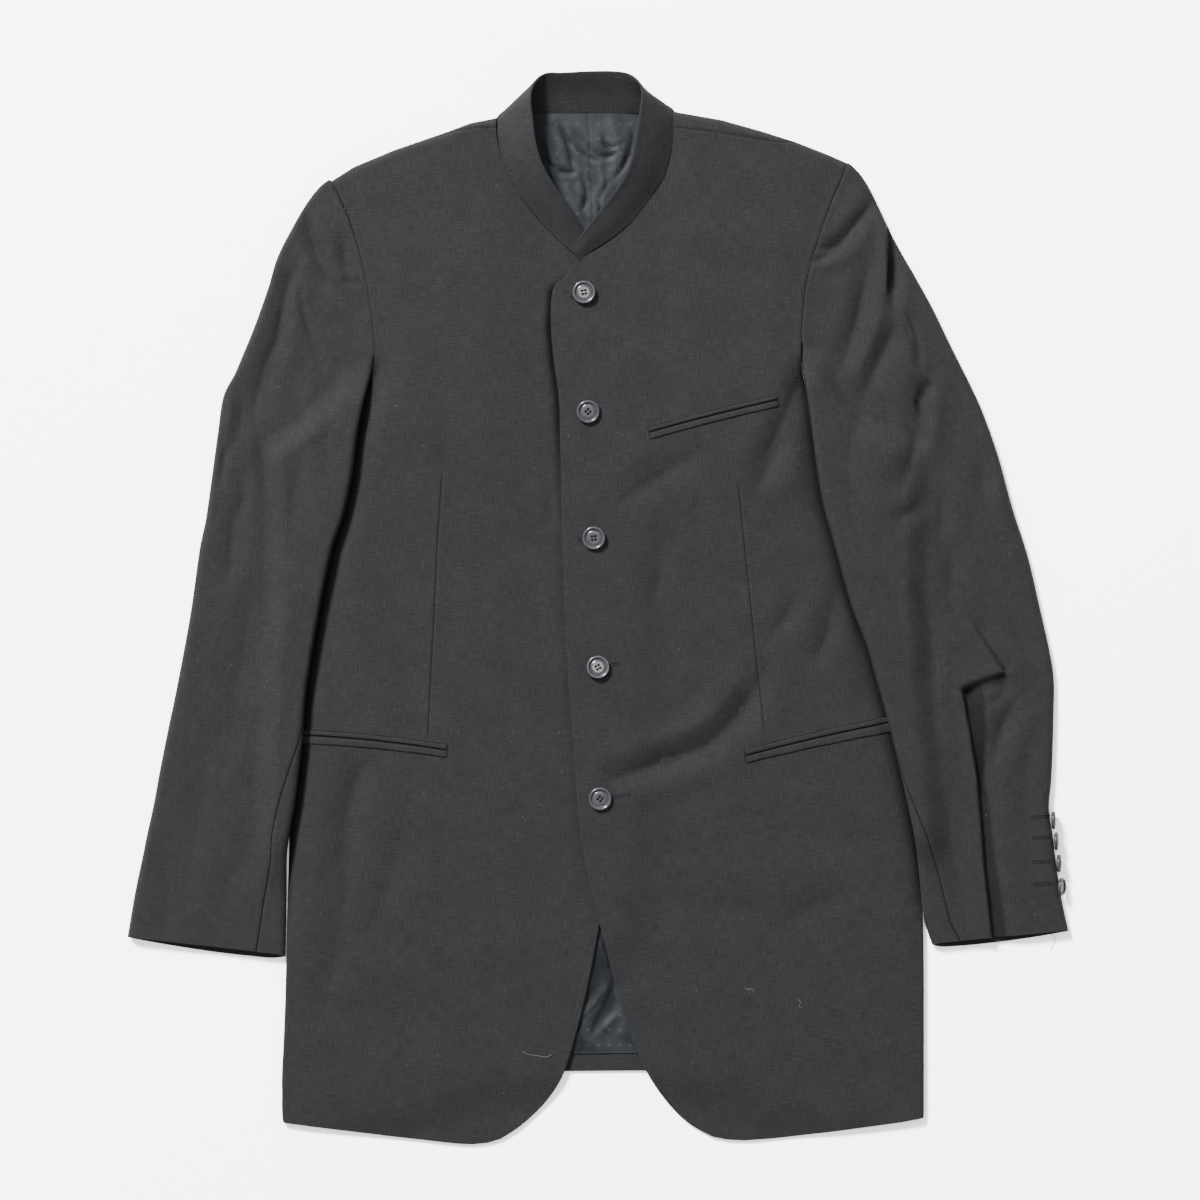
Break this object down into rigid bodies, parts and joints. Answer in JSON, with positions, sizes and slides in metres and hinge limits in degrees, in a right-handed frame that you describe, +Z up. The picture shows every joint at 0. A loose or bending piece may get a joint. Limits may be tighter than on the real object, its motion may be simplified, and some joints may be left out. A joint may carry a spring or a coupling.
{
  "type": "mao jacket",
  "caption": "Charcoal wool jacket with a stand-up band collar, a buttoned front, jetted pockets and set-in sleeves, laid flat on its back.",
  "frame": {"origin": "centre of the bounding box, on the surface that the jacket lies on", "axes": "+Y from the hem to the collar, +X to the viewer's right (the wearer's left side), +Z up, away from the surface"},
  "size_m": [0.8096, 0.9235, 0.0275],
  "materials": {
    "wool": "fine plain-woven wool, matt with a soft sheen",
    "lining": "satin jacquard lining",
    "button": "polished"
  },
  "bodies": {
    "root": {"back": "wool", "right_front": "wool", "left_front": "wool", "collar": "wool", "right_sleeve_upper": "wool", "right_sleeve_under": "wool", "left_sleeve_upper": "wool", "left_sleeve_under": "wool", "chest_pocket_upper_jet": "wool", "chest_pocket_lower_jet": "wool", "right_hip_pocket_upper_jet": "wool", "right_hip_pocket_lower_jet": "wool", "left_hip_pocket_upper_jet": "wool", "left_hip_pocket_lower_jet": "wool", "neck_lining": "lining", "hem_lining": "lining", "front_button_1": "button", "front_button_2": "button", "front_button_3": "button", "front_button_4": "button", "front_button_5": "button", "cuff_button_1": "button", "cuff_button_2": "button", "cuff_button_3": "button", "cuff_button_4": "button"}
  },
  "joints": []
}
